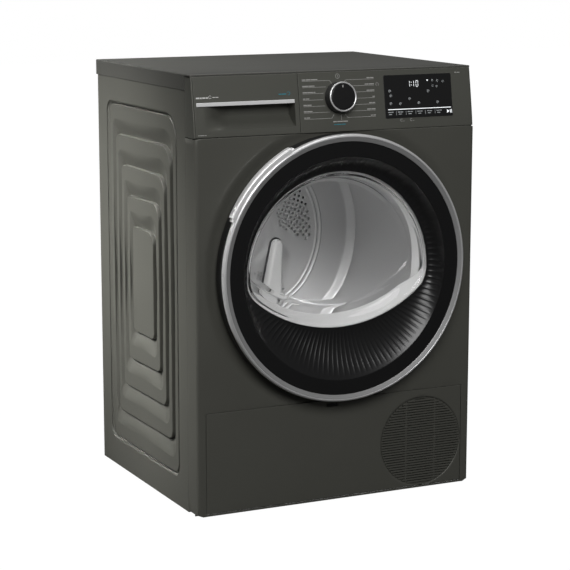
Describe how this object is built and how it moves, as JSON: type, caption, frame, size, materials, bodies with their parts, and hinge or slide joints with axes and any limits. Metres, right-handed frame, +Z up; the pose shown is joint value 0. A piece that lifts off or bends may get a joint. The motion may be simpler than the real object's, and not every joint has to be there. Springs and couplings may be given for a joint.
{
  "type": "clothes dryer",
  "caption": "Free-standing heat-pump clothes dryer with a round glazed loading door, pull-out water drawer, programme knob, service flap and spinning drum.",
  "frame": {"origin": "on the floor below the middle of the whole machine", "axes": "+Z up, +X to the right seen from the front, +Y to the rear; the door faces -Y"},
  "size_m": [0.6, 0.568, 0.846],
  "materials": {
    "body_steel": "satin dark manganese paint",
    "body_plastic": "satin dark manganese moulding",
    "black_gloss": "polished",
    "black_satin": "satin",
    "chrome": "polished",
    "drum_steel": "satin",
    "zinc_steel": "zinc plated",
    "grey_plastic": "satin light grey",
    "dark_plastic": "matt",
    "rubber": "matt",
    "felt": "felt",
    "clear_glass": "clear polished",
    "aluminium": "mill finish",
    "circuit_board": "solder resist"
  },
  "bodies": {
    "cabinet": {"base_tray": "dark_plastic", "front_left_foot": "rubber", "front_right_foot": "rubber", "rear_left_foot": "rubber", "rear_right_foot": "rubber", "left_side_panel": "body_steel", "right_side_panel": "body_steel", "rear_panel": "zinc_steel", "rear_duct_cover": "dark_plastic", "top_panel": "body_plastic", "front_panel": "body_steel", "door_seal": "rubber", "front_bulkhead": "grey_plastic", "lint_filter": "grey_plastic", "drum_felt_seal": "felt", "control_fascia": "body_plastic", "display_window": "black_gloss", "control_board": "circuit_board", "tank_tray": "dark_plastic", "door_lock": "dark_plastic", "door_hinge_bracket": "zinc_steel", "rear_bearing_housing": "zinc_steel", "drive_belt": "rubber", "motor": "zinc_steel", "fan_housing": "dark_plastic", "idler_arm": "zinc_steel", "air_duct_cover": "dark_plastic", "exchanger_lid": "dark_plastic", "evaporator": "aluminium", "condenser": "aluminium", "compressor": "black_satin", "cooling_fan_motor": "dark_plastic", "drain_pump": "dark_plastic", "drain_hose": "rubber", "power_inlet": "dark_plastic"},
    "door": {"door_ring": "chrome", "door_frame": "black_gloss", "door_window": "clear_glass", "door_inner_frame": "grey_plastic", "door_hook": "zinc_steel", "door_hinge_pin": "zinc_steel"},
    "drawer": {"drawer_front": "body_plastic", "drawer_strip": "chrome", "water_tank": "grey_plastic", "tank_cap": "dark_plastic"},
    "knob": {"knob_body": "black_satin", "knob_ring": "chrome"},
    "flap": {"service_flap": "body_plastic"},
    "flap_button": {"flap_button": "dark_plastic"},
    "drum": {"drum_shell": "drum_steel", "drum_rear_wall": "drum_steel", "drum_lifter_1": "grey_plastic", "drum_lifter_2": "grey_plastic"},
    "motor_rotor": {"motor_shaft": "zinc_steel", "process_fan": "dark_plastic"},
    "idler_wheel": {"idler_pulley": "dark_plastic"},
    "left_roller": {"left_drum_roller": "rubber"},
    "right_roller": {"right_drum_roller": "rubber"},
    "cooling_fan_rotor": {"cooling_fan": "dark_plastic"}
  },
  "joints": [
    {"name": "door_hinge", "type": "hinge", "parent": "cabinet", "child": "door", "pos_m": [0.248, -0.264, 0.47], "axis": [0, 0, 1], "range_deg": [0, 110]},
    {"name": "drawer_slide", "type": "slide", "parent": "cabinet", "child": "drawer", "axis": [0, -1, 0], "range_m": [0, 0.3]},
    {"name": "knob_turn", "type": "hinge", "parent": "cabinet", "child": "knob", "pos_m": [0.004, -0.23409, 0.7945], "axis": [0, -0.9877, 0.1561], "continuous": true},
    {"name": "flap_hinge", "type": "hinge", "parent": "cabinet", "child": "flap", "pos_m": [0, -0.237, 0.018], "axis": [1, 0, 0], "range_deg": [0, 80]},
    {"name": "flap_button_press", "type": "slide", "parent": "flap", "child": "flap_button", "axis": [0, 1, 0], "range_m": [0, 0.003], "stiffness_N_per_m": 300},
    {"name": "drum_spin", "type": "hinge", "parent": "cabinet", "child": "drum", "pos_m": [0, 0.155, 0.47], "axis": [0, 1, 0], "continuous": true},
    {"name": "motor_spin", "type": "hinge", "parent": "cabinet", "child": "motor_rotor", "pos_m": [-0.15, 0.135, 0.12], "axis": [0, 1, 0], "continuous": true},
    {"name": "idler_spin", "type": "hinge", "parent": "cabinet", "child": "idler_wheel", "pos_m": [-0.062, 0.092, 0.142], "axis": [0, 1, 0], "continuous": true},
    {"name": "left_roller_spin", "type": "hinge", "parent": "cabinet", "child": "left_roller", "pos_m": [-0.16857, -0.16, 0.21043], "axis": [0, 1, 0], "continuous": true},
    {"name": "right_roller_spin", "type": "hinge", "parent": "cabinet", "child": "right_roller", "pos_m": [0.16857, -0.16, 0.21043], "axis": [0, 1, 0], "continuous": true},
    {"name": "cooling_fan_spin", "type": "hinge", "parent": "cabinet", "child": "cooling_fan_rotor", "pos_m": [0.188, -0.213, 0.1035], "axis": [0, 1, 0], "continuous": true}
  ],
  "couplings": [
    {"joint": "motor_spin", "follows": "drum_spin", "ratio": 26.85},
    {"joint": "idler_spin", "follows": "drum_spin", "ratio": 18.05},
    {"joint": "left_roller_spin", "follows": "drum_spin", "ratio": -7.83},
    {"joint": "right_roller_spin", "follows": "drum_spin", "ratio": -7.83}
  ]
}
